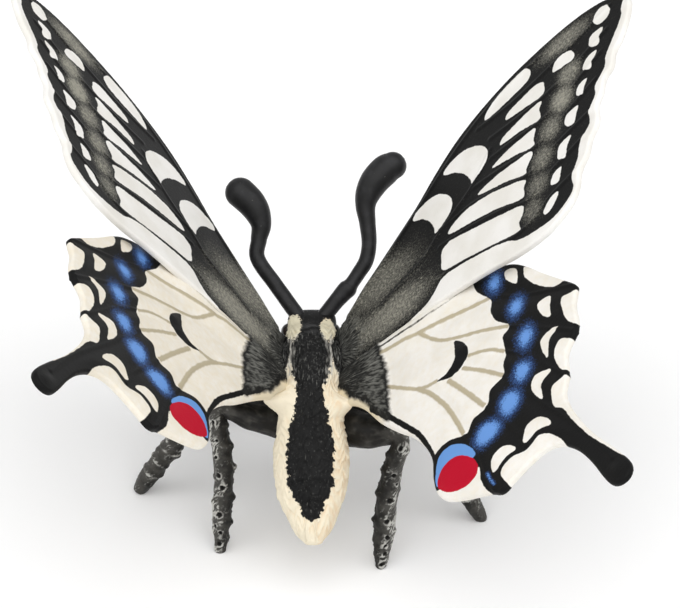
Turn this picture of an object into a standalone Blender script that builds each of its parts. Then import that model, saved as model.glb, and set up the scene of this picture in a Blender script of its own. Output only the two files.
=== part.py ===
"""A moulded plastic swallowtail butterfly figurine that stands on six legs with its wings raised.

Lengths are in millimetres and angles in degrees until a mesh is made.
X is to the butterfly's right, Y is forward and Z is up.
"""
import math

import bmesh
import bpy
from mathutils import Matrix, Vector

MM = 0.001

# Driving dimensions.
WING_THICKNESS = 1.2
WING_CHAMFER = 0.3
CLEARANCE = 0.3
LEG_KNOB = 0.06             # how far a leg's lumps swell, as a share of its radius
LEG_RINGS = 17
ANTENNA_RINGS = 22
ANTENNA_RISE = 50           # the plane of the antennae, up from level
CROWN = (0, 11, 31)         # the point that the antennae grow from, on that plane
EYE_PLACE = (3.9, 11.0, 29.5)
EYE_RADIUS = 1.75
NOSE_PUSH = 1.2             # how far the closed ends stand out past the body's last stations
TAIL_PUSH = 0.5
BODY_SIDES = 20
BODY_RINGS = 26
GROUND_DEPTH = 5

# The body from nose to tail tip: forward, up, half width, half height.
BODY_STATIONS = (
    (14.3, 28.7, 1.6, 1.5),
    (13.2, 29.1, 3.9, 2.9),
    (11.1, 29.4, 4.5, 3.3),
    (8.7, 29.4, 4.2, 3.3),
    (6.0, 29.2, 4.9, 4.6),
    (1.2, 28.2, 5.6, 5.7),
    (-3.8, 25.4, 5.4, 5.3),
    (-7.6, 22.6, 5.7, 5.2),
    (-11.8, 19.6, 6.4, 5.6),
    (-16.4, 16.4, 5.9, 5.0),
    (-19.9, 13.9, 4.4, 3.8),
    (-22.6, 12.1, 2.7, 2.5),
    (-23.9, 11.2, 1.3, 1.2),
)

# Where each wing leaves the body and how it is turned: root, dihedral, pitch, yaw.
# The wings of the real figurine aren't quite a mirrored pair, so each has its own pose.
WING_POSES = {
    "right_forewing": ((5.2, 3.0, 30.0), 46.6, 8.1, 4.3),
    "left_forewing": ((-4.6, 2.1, 29.6), 50.8, -6.2, -0.3),
    "right_hindwing": ((5.5, -2.0, 29.0), 42.6, 5.5, 4.1),
    "left_hindwing": ((-5.3, -1.5, 29.9), 47.3, -8.4, -1.9),
}

# Wing outlines, as outward and forward distances from the root in the wing's own plane.
# A hindwing's front edge runs close behind the forewing near the root and passes under it further out.
FOREWING_OUTLINE = (
    (-1.5, 5.4), (0.3, 7.0), (5.0, 11.2), (10.0, 14.4), (15.0, 17.6), (20.0, 20.9), (25.0, 25.0),
    (30.0, 28.5), (35.0, 30.9), (40.0, 32.6), (45.0, 33.8), (50.0, 34.5), (55.0, 34.9), (60.0, 34.9),
    (64.0, 34.4), (67.5, 33.4), (70.5, 31.6), (72.1, 29.3), (71.9, 27.2), (70.8, 24.4), (69.1, 21.6),
    (67.2, 19.6), (66.3, 16.8), (64.4, 15.4), (63.4, 12.8), (62.0, 10.6), (61.6, 6.8), (59.6, 4.2),
    (58.4, 1.4), (56.4, -0.9), (55.6, -3.7), (54.2, -6.2), (51.6, -7.9), (47.3, -9.2), (41.4, -8.9),
    (35.6, -7.5), (30.9, -6.6), (24.4, -5.6), (17.9, -4.8), (12.0, -4.4), (8.2, -4.2), (4.4, -3.8),
    (0.0, -3.5), (-1.5, -3.4),
)
HINDWING_FRONTS = {
    "right": ((-1.5, 0.6), (5.0, 0.4), (9.0, -0.1), (13.0, -0.5), (18.5, -1.0), (21.5, -0.5), (24.5, 1.0)),
    "left": ((-1.5, -0.7), (4.5, -1.0), (8.5, -1.5), (12.5, -1.8), (18.5, -2.1), (21.5, -1.5), (24.5, 0.4)),
}
HINDWING_OUTLINE = (
    (31.5, 1.2), (37.1, -1.2), (40.3, -4.4), (43.2, -8.5), (46.8, -13.2), (49.1, -16.2), (49.4, -17.6),
    (48.5, -20.7), (48.6, -24.2), (48.0, -26.8), (45.8, -29.7), (45.4, -32.2), (45.1, -35.3), (44.2, -37.9),
    (44.4, -40.9), (45.9, -45.6), (48.3, -51.0), (51.3, -56.2), (53.5, -60.4), (54.0, -62.6), (53.2, -64.1),
    (51.6, -64.5), (50.0, -63.6), (48.8, -61.2), (47.1, -56.6), (44.9, -52.2), (42.2, -49.0), (39.1, -47.6),
    (35.6, -48.1), (32.4, -49.2), (29.7, -50.2), (27.3, -48.6), (22.7, -46.3), (19.3, -44.3), (17.5, -42.2),
    (16.8, -39.8), (16.6, -36.8), (16.8, -33.2), (15.6, -29.1), (13.1, -24.7), (10.2, -21.2), (6.7, -16.1),
    (3.8, -10.8), (0.9, -5.6), (-1.5, -4.6),
)

# Legs from hip to sole: right, forward, up, radius. The last point is below the floor, which trims it.
LEG_PATHS = {
    "right_front_leg": ((3.0, 6.0, 25.0, 2.3), (8.0, 10.2, 22.6, 2.1), (13.0, 14.2, 20.6, 1.7),
                        (15.0, 16.4, 14.0, 1.7), (17.4, 19.4, 6.0, 1.6), (19.2, 22.0, -0.6, 1.2)),
    "left_front_leg": ((-3.0, 6.0, 25.0, 2.3), (-8.0, 10.2, 22.6, 2.1), (-13.0, 14.2, 20.6, 1.7),
                       (-15.0, 16.4, 14.0, 1.7), (-17.4, 19.4, 6.0, 1.6), (-19.2, 22.0, -0.6, 1.2)),
    "right_middle_leg": ((3.5, 1.0, 23.5, 2.4), (10.0, -0.4, 22.2, 2.1), (17.2, -1.9, 20.8, 1.8),
                         (22.2, -3.0, 13.0, 1.7), (27.0, -4.8, 5.0, 1.6), (29.6, -5.4, -0.6, 1.2)),
    "left_middle_leg": ((-3.5, 1.0, 23.5, 2.4), (-10.0, 2.0, 22.4, 2.1), (-17.2, 3.0, 20.8, 1.8),
                        (-23.0, 2.4, 12.4, 1.7), (-27.9, 2.1, 4.8, 1.6), (-30.8, 1.9, -0.6, 1.2)),
    "right_hind_leg": ((4.0, -4.6, 20.2, 3.0), (9.0, -7.4, 21.0, 2.7), (14.8, -10.8, 23.0, 1.7),
                       (13.7, -12.8, 17.0, 1.9), (12.7, -14.3, 11.6, 2.0), (12.4, -15.9, 6.0, 1.8),
                       (11.9, -17.8, -0.6, 1.1)),
    "left_hind_leg": ((-4.0, -4.0, 20.6, 3.0), (-9.4, -4.2, 22.0, 2.6), (-15.6, -4.4, 24.0, 1.6),
                      (-15.4, -6.9, 17.2, 1.7), (-15.1, -8.9, 12.0, 1.7), (-15.5, -11.7, 5.0, 1.6),
                      (-15.8, -13.8, -0.6, 1.15)),
}

# Antennae on their plane, from the crown of the head to the club: right, along, radius.
ANTENNA_PATHS = {
    "left_antenna": ((-1.5, 0.4, 1.15), (-2.9, 2.0, 1.15), (-6.2, 6.5, 1.2), (-9.3, 10.8, 1.25),
                     (-9.1, 14.0, 1.3), (-8.9, 16.4, 1.55), (-9.6, 18.6, 1.9), (-10.7, 20.4, 2.2),
                     (-12.5, 22.3, 2.35)),
    "right_antenna": ((1.4, 0.0, 1.15), (2.6, 1.5, 1.15), (4.6, 4.0, 1.2), (6.6, 6.3, 1.3),
                      (9.2, 10.2, 1.2), (9.8, 13.6, 1.2), (9.5, 17.0, 1.25), (9.2, 19.8, 1.5),
                      (9.6, 22.0, 1.85), (10.8, 24.2, 2.3), (12.7, 26.2, 2.45), (14.1, 27.2, 2.3)),
}

# Plain colours, as linear red, green and blue, with a roughness.
FINISHES = {
    "cream_plastic": ((0.82, 0.72, 0.52), 0.75),
    "ivory_plastic": ((0.84, 0.81, 0.74), 0.5),
    "black_plastic": ((0.022, 0.022, 0.023), 0.4),
    "dark_leg_plastic": ((0.05, 0.05, 0.046), 0.55),
}


def material(finish, node):
    """A new material for one node, in one of the plain finishes."""
    colour, roughness = FINISHES[finish]
    made = bpy.data.materials.new(node + "_" + finish)
    made.use_nodes = True
    shader = made.node_tree.nodes["Principled BSDF"]
    shader.inputs["Base Color"].default_value = (*colour, 1)
    shader.inputs["Roughness"].default_value = roughness
    shader.inputs["Metallic"].default_value = 0
    made.diffuse_color = (*colour, 1)
    return made


def smooth_point(points, share):
    """The point at a share of the way along a smooth curve through the points."""
    place = share * (len(points) - 1)
    first = min(int(place), len(points) - 2)
    t = place - first
    picked = [points[min(max(first + step, 0), len(points) - 1)] for step in (-1, 0, 1, 2)]
    result = []
    for before, start, end, after in zip(*picked):
        bend = 2 * before - 5 * start + 4 * end - after
        twist = -before + 3 * start - 3 * end + after
        result.append(0.5 * (2 * start + (end - before) * t + bend * t * t + twist * t ** 3))
    return result


def add_object(name, mesh, group, stand):
    """An object in a collection, carried by the stand."""
    made = bpy.data.objects.new(name, mesh)
    group.objects.link(made)
    made.parent = stand
    return made


def curve_to_object(name, curve, group, stand):
    """The curve's shape as a closed mesh object, with its caps welded on."""
    shape = bpy.data.objects.new(name + "_curve", curve)
    group.objects.link(shape)
    bpy.context.view_layer.update()
    evaluated = shape.evaluated_get(bpy.context.evaluated_depsgraph_get())
    mesh = bpy.data.meshes.new_from_object(evaluated)
    mesh.name = name
    made = add_object(name, mesh, group, stand)
    bpy.data.objects.remove(shape)
    bm = bmesh.new()
    bm.from_mesh(mesh)
    bmesh.ops.remove_doubles(bm, verts=bm.verts, dist=0.02 * MM)
    bmesh.ops.recalc_face_normals(bm, faces=bm.faces)
    bm.to_mesh(mesh)
    bm.free()
    return made


def cut(made, cutter):
    """Takes the cutter's shape away from an object."""
    difference = made.modifiers.new("cut_" + cutter.name, "BOOLEAN")
    difference.operation = "DIFFERENCE"
    difference.object = cutter
    difference.solver = "EXACT"


def round_shading(made):
    """Smooth shading on the round stretches and sharp edges elsewhere."""
    made.data.shade_smooth()
    made.data.set_sharp_from_angle(angle=math.radians(40))


def body_mesh(name, grow):
    """The body as rings round its spine, grown outwards by a clearance."""
    bm = bmesh.new()
    bmesh.ops.create_uvsphere(bm, u_segments=BODY_SIDES, v_segments=BODY_RINGS, radius=1)
    tip_push = {1: NOSE_PUSH, -1: -TAIL_PUSH}
    for vertex in bm.verts:
        height = max(-1, min(1, vertex.co.z))
        share = math.acos(height) / math.pi
        forward, up, half_width, half_height = smooth_point(BODY_STATIONS, share)
        ahead = smooth_point(BODY_STATIONS, max(share - 0.02, 0))
        behind = smooth_point(BODY_STATIONS, min(share + 0.02, 1))
        along = Vector((0, ahead[0] - behind[0], ahead[1] - behind[1])).normalized()
        upward = Vector((1, 0, 0)).cross(along)
        centre = Vector((0, forward, up))
        across = Vector((vertex.co.x, vertex.co.y))
        if across.length < 1e-4:
            place = centre + along * (tip_push[round(height)] + grow * round(height))
        else:
            across.normalize()
            place = centre + upward * across.y * (half_height + grow)
            place.x = -across.x * (half_width + grow)
        vertex.co = place * MM
    mesh = bpy.data.meshes.new(name)
    bm.to_mesh(mesh)
    bm.free()
    return mesh


def add_body(parts, cutters, stand):
    """The head, thorax and abdomen in one piece, with its eyes."""
    made = add_object("body", body_mesh("body", 0), parts, stand)
    for side in (1, -1):
        mesh = bpy.data.meshes.new("eye")
        bm = bmesh.new()
        bmesh.ops.create_uvsphere(bm, u_segments=12, v_segments=8, radius=EYE_RADIUS * MM)
        bm.to_mesh(mesh)
        bm.free()
        eye = add_object("left_eye" if side < 0 else "right_eye", mesh, cutters, stand)
        eye.location = Vector((side * EYE_PLACE[0], EYE_PLACE[1], EYE_PLACE[2])) * MM
        joined = made.modifiers.new("join_" + eye.name, "BOOLEAN")
        joined.operation = "UNION"
        joined.object = eye
        joined.solver = "EXACT"
    made.data.materials.append(material("cream_plastic", "body"))
    round_shading(made)


def add_wing(name, outline, parts, stand, body_space):
    """A flat wing with chamfered edges. Its upper face is on the plane through its root."""
    root, dihedral, pitch, yaw = WING_POSES[name]
    side = -1 if name.startswith("left") else 1
    curve = bpy.data.curves.new(name, "CURVE")
    curve.dimensions = "2D"
    curve.fill_mode = "BOTH"
    curve.bevel_depth = WING_CHAMFER * MM
    curve.bevel_resolution = 0
    curve.offset = -WING_CHAMFER * MM
    curve.extrude = (WING_THICKNESS / 2 - WING_CHAMFER) * MM
    spline = curve.splines.new("POLY")
    spline.points.add(len(outline) - 1)
    for point, (outward, forward) in zip(spline.points, outline):
        point.co = (side * outward * MM, forward * MM, 0, 1)
    spline.use_cyclic_u = True
    made = curve_to_object(name, curve, parts, stand)
    made.data.transform(Matrix.Translation((0, 0, -WING_THICKNESS / 2 * MM)))
    turn = (Matrix.Rotation(math.radians(pitch), 3, "X")
            @ Matrix.Rotation(math.radians(-side * dihedral), 3, "Y")
            @ Matrix.Rotation(math.radians(side * yaw), 3, "Z"))
    made.rotation_euler = turn.to_euler()
    made.location = Vector(root) * MM
    made.data.materials.append(material("ivory_plastic", name))
    cut(made, body_space)


def add_rod(name, points, rings, parts, stand):
    """A rod along a list of points, each with its own radius."""
    curve = bpy.data.curves.new(name, "CURVE")
    curve.dimensions = "3D"
    curve.bevel_depth = MM
    curve.bevel_resolution = 2
    curve.use_fill_caps = True
    spline = curve.splines.new("POLY")
    spline.points.add(rings - 1)
    for point, (right, forward, up, radius) in zip(spline.points, points):
        point.co = (right * MM, forward * MM, up * MM, 1)
        point.radius = radius
    return curve_to_object(name, curve, parts, stand)


def add_leg(name, parts, stand, body_space, ground):
    """A lumpy leg, trimmed flat at the floor and clear of the body."""
    points = []
    for ring in range(LEG_RINGS):
        right, forward, up, radius = smooth_point(LEG_PATHS[name], ring / (LEG_RINGS - 1))
        lump = 1 + LEG_KNOB * (-1) ** ring
        points.append((right, forward, up, radius * lump))
    made = add_rod(name, points, LEG_RINGS, parts, stand)
    made.data.materials.append(material("dark_leg_plastic", name))
    round_shading(made)
    cut(made, body_space)
    cut(made, ground)


def add_antenna(name, parts, stand, body_space):
    """A bent rod that swells into a club with a round end."""
    rise = math.radians(ANTENNA_RISE)
    route = [smooth_point(ANTENNA_PATHS[name], ring / (ANTENNA_RINGS - 1)) for ring in range(ANTENNA_RINGS)]
    last = Vector(route[-1][:2])
    heading = (last - Vector(route[-2][:2])).normalized()
    club_radius = route[-1][2]
    for angle in (25, 50, 72, 85):
        reach = last + heading * club_radius * math.sin(math.radians(angle))
        route.append((reach.x, reach.y, club_radius * math.cos(math.radians(angle))))
    points = []
    for right, along, radius in route:
        forward = CROWN[1] + along * math.cos(rise)
        up = CROWN[2] + along * math.sin(rise)
        points.append((right, forward, up, radius))
    made = add_rod(name, points, len(points), parts, stand)
    made.data.materials.append(material("black_plastic", name))
    round_shading(made)
    cut(made, body_space)


def add_ground(cutters, stand):
    """A block below the floor, which trims the soles flat."""
    mesh = bpy.data.meshes.new("ground")
    bm = bmesh.new()
    bmesh.ops.create_cube(bm, size=1)
    bmesh.ops.scale(bm, vec=(100 * MM, 100 * MM, GROUND_DEPTH * MM), verts=bm.verts)
    bmesh.ops.translate(bm, vec=(0, 0, -GROUND_DEPTH / 2 * MM), verts=bm.verts)
    bm.to_mesh(mesh)
    bm.free()
    return add_object("ground", mesh, cutters, stand)


def centre_on_origin(parts, stand):
    """Moves the stand so that the whole figurine is centred over the origin."""
    bpy.context.view_layer.update()
    depsgraph = bpy.context.evaluated_depsgraph_get()
    corners = []
    for made in parts.objects:
        evaluated = made.evaluated_get(depsgraph)
        corners += [evaluated.matrix_world @ vertex.co for vertex in evaluated.data.vertices]
    middle = [(min(c[axis] for c in corners) + max(c[axis] for c in corners)) / 2 for axis in (0, 1)]
    stand.location = (-middle[0], -middle[1], 0)


def main():
    for old in list(bpy.data.objects):
        bpy.data.objects.remove(old)
    parts = bpy.data.collections.new("butterfly_figurine")
    cutters = bpy.data.collections.new("cutters")
    for group in (parts, cutters):
        bpy.context.scene.collection.children.link(group)
    stand = bpy.data.objects.new("stand", None)
    bpy.context.scene.collection.objects.link(stand)

    body_space = add_object("body_space", body_mesh("body_space", CLEARANCE), cutters, stand)
    ground = add_ground(cutters, stand)
    add_body(parts, cutters, stand)
    for name in WING_POSES:
        side, kind = name.split("_")
        outline = FOREWING_OUTLINE if kind == "forewing" else HINDWING_FRONTS[side] + HINDWING_OUTLINE
        add_wing(name, outline, parts, stand, body_space)
    for name in LEG_PATHS:
        add_leg(name, parts, stand, body_space, ground)
    for name in ANTENNA_PATHS:
        add_antenna(name, parts, stand, body_space)
    for cutter in cutters.objects:
        cutter.hide_render = True
        cutter.display_type = "WIRE"
    centre_on_origin(parts, stand)


main()
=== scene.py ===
import math

import bpy
import numpy as np
from mathutils import Matrix, Vector


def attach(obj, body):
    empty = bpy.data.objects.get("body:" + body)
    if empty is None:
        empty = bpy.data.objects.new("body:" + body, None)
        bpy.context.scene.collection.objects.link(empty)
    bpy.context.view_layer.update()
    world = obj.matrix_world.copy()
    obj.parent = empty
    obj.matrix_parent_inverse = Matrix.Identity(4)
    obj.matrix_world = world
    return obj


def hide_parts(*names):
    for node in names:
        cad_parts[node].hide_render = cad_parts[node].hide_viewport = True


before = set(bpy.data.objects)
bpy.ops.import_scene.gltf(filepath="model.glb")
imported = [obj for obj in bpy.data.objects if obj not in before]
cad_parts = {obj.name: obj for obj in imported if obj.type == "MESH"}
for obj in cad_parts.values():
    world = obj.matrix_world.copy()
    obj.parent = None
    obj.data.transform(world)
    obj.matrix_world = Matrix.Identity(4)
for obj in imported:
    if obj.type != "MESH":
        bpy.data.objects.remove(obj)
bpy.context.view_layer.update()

# Lengths are in millimetres until a finished piece is placed. X is to the butterfly's right, Y is
# forward and Z is up. Wing patterns are drawn on the wing's own plane, as outward and forward from its root.
millimetre = 0.001
standShift = Vector((-1.377, 12.242, 0))  # from the drawing's origin to the middle of the floor space
noPaint = -3.0  # what a paint's field holds where there is none of it


# tools for shapes
def bend(before, start, end, after, t):
    return 0.5 * (2 * start + (end - before) * t + (2 * before - 5 * start + 4 * end - after) * t * t
                  + (3 * start - before - 3 * end + after) * t ** 3)


def smoothPath(points, shares):
    points = np.array(points, float)
    place = np.clip(shares, 0, 1) * (len(points) - 1)
    first = np.minimum(place.astype(int), len(points) - 2)
    near = [points[np.clip(first + step, 0, len(points) - 1)] for step in (-1, 0, 1, 2)]
    return bend(*near, (place - first)[:, None])


def smoothLoop(points, steps=5):
    points = np.array(points, float)
    place = np.arange(len(points) * steps) / steps
    first = place.astype(int)
    near = [points[(first + step) % len(points)] for step in (-1, 0, 1, 2)]
    return bend(*near, (place - first)[:, None])


def gapToPieces(place, starts, ends):
    # the distance from each place to the nearest of a set of straight pieces
    best = np.full(len(place), 1e9)
    for start, end in zip(starts, ends):
        along = end - start
        gap = place - start
        share = np.clip(gap @ along / max(along @ along, 1e-9), 0, 1)
        gap = gap - share[:, None] * along
        best = np.minimum(best, (gap * gap).sum(1))
    return np.sqrt(best)


def insideLoop(place, loop, reach=2.5):
    # how far inside a loop each place is, and below zero outside it
    loop = smoothLoop(loop)
    result = np.full(len(place), -float(reach))
    near = ((place > loop.min(0) - reach) & (place < loop.max(0) + reach)).all(1)
    spot = place[near]
    ends = np.roll(loop, -1, 0)
    inside = np.zeros(len(spot), bool)
    for start, end in zip(loop, ends):
        rise = end[1] - start[1]
        if abs(rise) > 1e-9:
            crosses = (start[1] > spot[:, 1]) != (end[1] > spot[:, 1])
            inside ^= crosses & (spot[:, 0] < (end[0] - start[0]) * (spot[:, 1] - start[1]) / rise + start[0])
    gap = gapToPieces(spot, loop, ends)
    result[near] = np.where(inside, gap, -np.minimum(gap, reach))
    return result


def nearLine(place, line, halfWidth, reach=2.5):
    # how far inside a brush line each place is
    line = smoothPath(line, np.linspace(0, 1, 4 * len(line)))
    result = np.full(len(place), -float(reach))
    near = ((place > line.min(0) - reach) & (place < line.max(0) + reach)).all(1)
    gap = gapToPieces(place[near], line[:-1], line[1:])
    result[near] = halfWidth - np.minimum(gap, reach + halfWidth)
    return result


def softStep(values, low, high):
    share = np.clip((values - low) / (high - low), 0, 1)
    return share * share * (3 - 2 * share)


def lumps(across, along, seed):
    # smooth random bumps from 0 to 1, one for each unit of distance
    heights = np.random.default_rng(seed).random((101, 101))
    firstRow, firstColumn = np.floor(across).astype(int), np.floor(along).astype(int)
    row, column = across - firstRow, along - firstColumn
    row, column = row * row * (3 - 2 * row), column * column * (3 - 2 * column)
    corner = [[heights[(firstRow + a) % 101, (firstColumn + b) % 101] for b in (0, 1)] for a in (0, 1)]
    return ((corner[0][0] * (1 - column) + corner[0][1] * column) * (1 - row)
            + (corner[1][0] * (1 - column) + corner[1][1] * column) * row)


def strokes(across, along, width, length, seed):
    # moulded hairs, 0 in the grooves and 1 on the crests
    wander = (lumps(across / (3 * width), along / length, seed) - 0.5) * 2.4
    crest = 1 - np.abs(2 * lumps(across / width + wander, along / length, seed + 1) - 1)
    fine = 1 - np.abs(2 * lumps(across / (0.55 * width) + wander, along / (0.6 * length), seed + 2) - 1)
    return 0.65 * crest + 0.35 * fine


def readPoints(piece):
    points = np.empty(len(piece.data.vertices) * 3, np.float32)
    piece.data.vertices.foreach_get("co", points)
    return points.reshape(-1, 3).astype(float)


def writePoints(piece, points):
    piece.data.vertices.foreach_set("co", np.ascontiguousarray(points, np.float32).ravel())
    piece.data.update()


def keepFields(piece, **fields):
    # one number for each point, which the paint reads
    for name, values in fields.items():
        layer = piece.data.attributes.new(name, "FLOAT", "POINT")
        layer.data.foreach_set("value", np.ascontiguousarray(values, np.float32))


def applyModifiers(piece):
    bpy.context.view_layer.objects.active = piece
    for modifier in list(piece.modifiers):
        bpy.ops.object.modifier_apply(modifier=modifier.name)


def placePiece(piece, name, place, material, nodes):
    # turns millimetres to metres, points the faces outwards and hangs the piece on the frame
    piece.name = piece.data.name = name
    piece.data.transform(Matrix.Scale(millimetre, 4) @ Matrix.Translation(standShift) @ place)
    bpy.ops.object.select_all(action="DESELECT")
    piece.select_set(True)
    bpy.context.view_layer.objects.active = piece
    bpy.ops.object.mode_set(mode="EDIT")
    bpy.ops.mesh.select_all(action="SELECT")
    bpy.ops.mesh.normals_make_consistent(inside=False)
    bpy.ops.object.mode_set(mode="OBJECT")
    bpy.ops.object.shade_smooth()
    piece.data.materials.clear()
    piece.data.materials.append(material)
    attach(piece, "root")
    if nodes:
        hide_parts(*nodes)


def spineTube(stations, towards, sides, rings, caps):
    # a closed skin of rings round a smooth spine, whose ends are rounded off by the two cap lengths
    bpy.ops.object.select_all(action="DESELECT")
    bpy.ops.mesh.primitive_uv_sphere_add(segments=sides, ring_count=rings, radius=1)
    piece = bpy.context.object
    ball = readPoints(piece)
    samples = smoothPath(stations, np.linspace(0, 1, 500))
    steps = np.linalg.norm(np.diff(samples[:, :3], axis=0), axis=1)
    lengths = np.concatenate(([0], np.cumsum(steps)))
    total = lengths[-1]
    travel = np.arccos(np.clip(ball[:, 2], -1, 1)) / math.pi * (total + sum(caps)) - caps[0]
    held = np.clip(travel, 0, total)

    def along(values):
        return np.stack([np.interp(held, lengths, column) for column in values.T], 1)

    path = along(samples)
    heading = along(np.gradient(samples[:, :3], lengths, axis=0))
    heading /= np.linalg.norm(heading, axis=1)[:, None]
    sideways = np.cross(np.array(towards, float), heading)
    sideways /= np.linalg.norm(sideways, axis=1)[:, None]
    upward = np.cross(heading, sideways)
    overshoot = np.maximum(-travel / caps[0], (travel - total) / caps[1]).clip(0, 1)
    flat = np.hypot(ball[:, 0], ball[:, 1])
    flat[flat < 1e-5] = 1e9
    return {
        "piece": piece, "travel": travel, "total": total, "narrow": np.sqrt(1 - overshoot ** 2),
        "turn": np.arctan2(ball[:, 0], ball[:, 1]), "width": path[:, 3], "height": path[:, 4],
        "centre": path[:, :3] + heading * (travel - held)[:, None],
        "sideways": sideways * (ball[:, 0] / flat)[:, None], "upward": upward * (ball[:, 1] / flat)[:, None],
    }


def shapeTube(tube, relief):
    wide = (tube["width"] + relief) * tube["narrow"]
    high = (tube["height"] + relief) * tube["narrow"]
    points = tube["centre"] + tube["sideways"] * wide[:, None] + tube["upward"] * high[:, None]
    writePoints(tube["piece"], points)
    return points


# tools for materials
def linear(hexColour):
    parts = [int(hexColour[start:start + 2], 16) / 255 for start in (1, 3, 5)]
    return (*[part / 12.92 if part <= 0.04045 else ((part + 0.055) / 1.055) ** 2.4 for part in parts], 1)


def node(tree, kind, inputs=None, **settings):
    made = tree.nodes.new(kind)
    for key, value in settings.items():
        setattr(made, key, value)
    for key, value in (inputs or {}).items():
        if isinstance(value, bpy.types.NodeSocket):
            tree.links.new(value, made.inputs[key])
        else:
            made.inputs[key].default_value = value
    return made


def paintedMaterial(recipe):
    # The bare plastic, then each layer of paint where its field, roughened by a noise, passes an edge.
    material = bpy.data.materials.new(recipe["name"])
    material.use_nodes = True
    tree = material.node_tree
    surface = tree.nodes["Principled BSDF"]
    place = node(tree, "ShaderNodeTexCoord").outputs["Object"]
    noises = {}
    for name, (size, detail) in recipe["noises"].items():
        noises[name] = node(tree, "ShaderNodeTexNoise", {
            "Vector": place, "Scale": 1 / (size * millimetre), "Detail": detail}).outputs["Fac"]
    if "hairWidth" in recipe:
        across, along = (node(tree, "ShaderNodeAttribute", attribute_name=name).outputs["Fac"]
                         for name in ("across", "along"))
        hairPlace = node(tree, "ShaderNodeCombineXYZ", {"X": across, "Y": along}).outputs[0]
        noises["hairs"] = node(tree, "ShaderNodeTexNoise", {
            "Vector": hairPlace, "Scale": 1 / recipe["hairWidth"], "Detail": 2.0}).outputs["Fac"]
    colour, roughness = linear(recipe["bare"][0]), recipe["bare"][1]
    for field, noise, rough, low, high, cover, paint, gloss in recipe["layers"]:
        base = 0.0
        if field != "everywhere":
            base = node(tree, "ShaderNodeAttribute", attribute_name=field).outputs["Fac"]
        level = node(tree, "ShaderNodeMath", {0: noises[noise], 1: rough, 2: base}, operation="MULTIPLY_ADD")
        mask = node(tree, "ShaderNodeMapRange", {
            "Value": level.outputs[0], "From Min": low, "From Max": high, "To Max": cover},
            interpolation_type="SMOOTHSTEP").outputs[0]
        colour = node(tree, "ShaderNodeMix", {"Factor": mask, "A": colour, "B": linear(paint)},
                      data_type="RGBA").outputs["Result"]
        roughness = node(tree, "ShaderNodeMix", {
            "Factor": mask, "A": roughness, "B": gloss}).outputs["Result"]
    tree.links.new(colour, surface.inputs["Base Color"])
    tree.links.new(roughness, surface.inputs["Roughness"])
    surface.inputs["Specular IOR Level"].default_value = recipe["shine"]
    noise, depth = recipe["bump"]
    bump = node(tree, "ShaderNodeBump", {
        "Height": noises[noise], "Strength": 0.5, "Distance": depth * millimetre})
    tree.links.new(bump.outputs["Normal"], surface.inputs["Normal"])
    return material


# In every recipe a bare plastic is its colour and roughness, and a layer is its field, its noise and how much
# of it, where its edge starts and ends, how well it covers, its colour and its roughness.

# Hand-painted PVC: the soft plastic is moulded ivory, and acrylic paint is laid over it by brush and by
# airbrush. Brushed edges are crisp and a little uneven, airbrushed ones are a spray of fine dots. The dots of
# a real airbrush are under 0.1 mm, and the speckle is drawn at 0.3 mm so that it shows.
wingPaint = paintedMaterial({
    "name": "handPaintedPvcWing", "bare": ("#ECEAE6", 0.55), "shine": 0.07, "hairWidth": 1.0,
    "noises": {"cloud": (7.0, 3.0), "wobble": (1.1, 2.0), "speckle": (0.3, 1.5), "grain": (0.5, 3.0)},
    "layers": (
        ("everywhere", "cloud", 1.0, 0.35, 0.7, 1.0, "#E2DFD8", 0.55),
        # warm tint near the root and rim, and more of it over the whole left hindwing as painted shade
        ("warm", "wobble", 0.5, 0.25, 1.2, 1.0, "#DFD2B6", 0.55),
        ("tan", "wobble", 0.32, 0.04, 0.36, 0.95, "#B0A58B", 0.55),
        ("ink", "wobble", 0.32, 0.09, 0.23, 1.0, "#161616", 0.45),
        # grey paint: airbrushed grey scales, thin painted highlights on the forewing veins, and on the
        # hindwings a painted shadow along the seam
        ("dust", "speckle", 1.4, 0.8, 2.15, 0.85, "#8F8D83", 0.6),
        ("dust", "grain", 3.4, 2.45, 3.1, 0.55, "#A5A294", 0.6),
        ("sky", "speckle", 3.0, 0.5, 2.7, 0.5, "#4770B8", 0.5),
        ("sky", "speckle", 2.2, 1.35, 2.5, 1.0, "#6693D2", 0.5),
        ("blue", "wobble", 0.32, 0.09, 0.23, 1.0, "#6694D0", 0.5),
        ("red", "wobble", 0.32, 0.09, 0.23, 1.0, "#B40E29", 0.5),
        ("fur", "wobble", 0.8, 0.1, 1.0, 1.0, "#232322", 0.5),
        ("tips", "hairs", 2.4, 1.4, 2.6, 0.75, "#85857F", 0.55),
    ),
    "bump": ("grain", 0.06),
})

# Painted PVC fur: cream paint with a thin warm wash in the hollows, partly painted shade, and satin black
# hair over it.
furPaint = paintedMaterial({
    "name": "paintedPvcFur", "bare": ("#E8DEC7", 0.62), "shine": 0.1, "hairWidth": 1.0,
    "noises": {"broad": (3.8, 2.0), "fine": (0.4, 2.0)},
    "layers": (
        ("hollow", "broad", 0.6, 0.5, 1.5, 0.8, "#DEC29C", 0.62),
        ("cheek", "fine", 0.6, 0.3, 0.9, 0.75, "#CDC6AC", 0.62),
        ("ink", "fine", 0.8, 0.3, 0.5, 1.0, "#181818", 0.45),
        ("fuzz", "hairs", 2.0, 1.0, 2.2, 0.85, "#C3C0B8", 0.6),
        ("tips", "hairs", 2.4, 1.7, 2.4, 0.75, "#8C8C87", 0.55),
        ("tips", "fine", 2.6, 1.7, 2.5, 0.45, "#686866", 0.5),
    ),
    "bump": ("hairs", 0.12),
})

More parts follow.
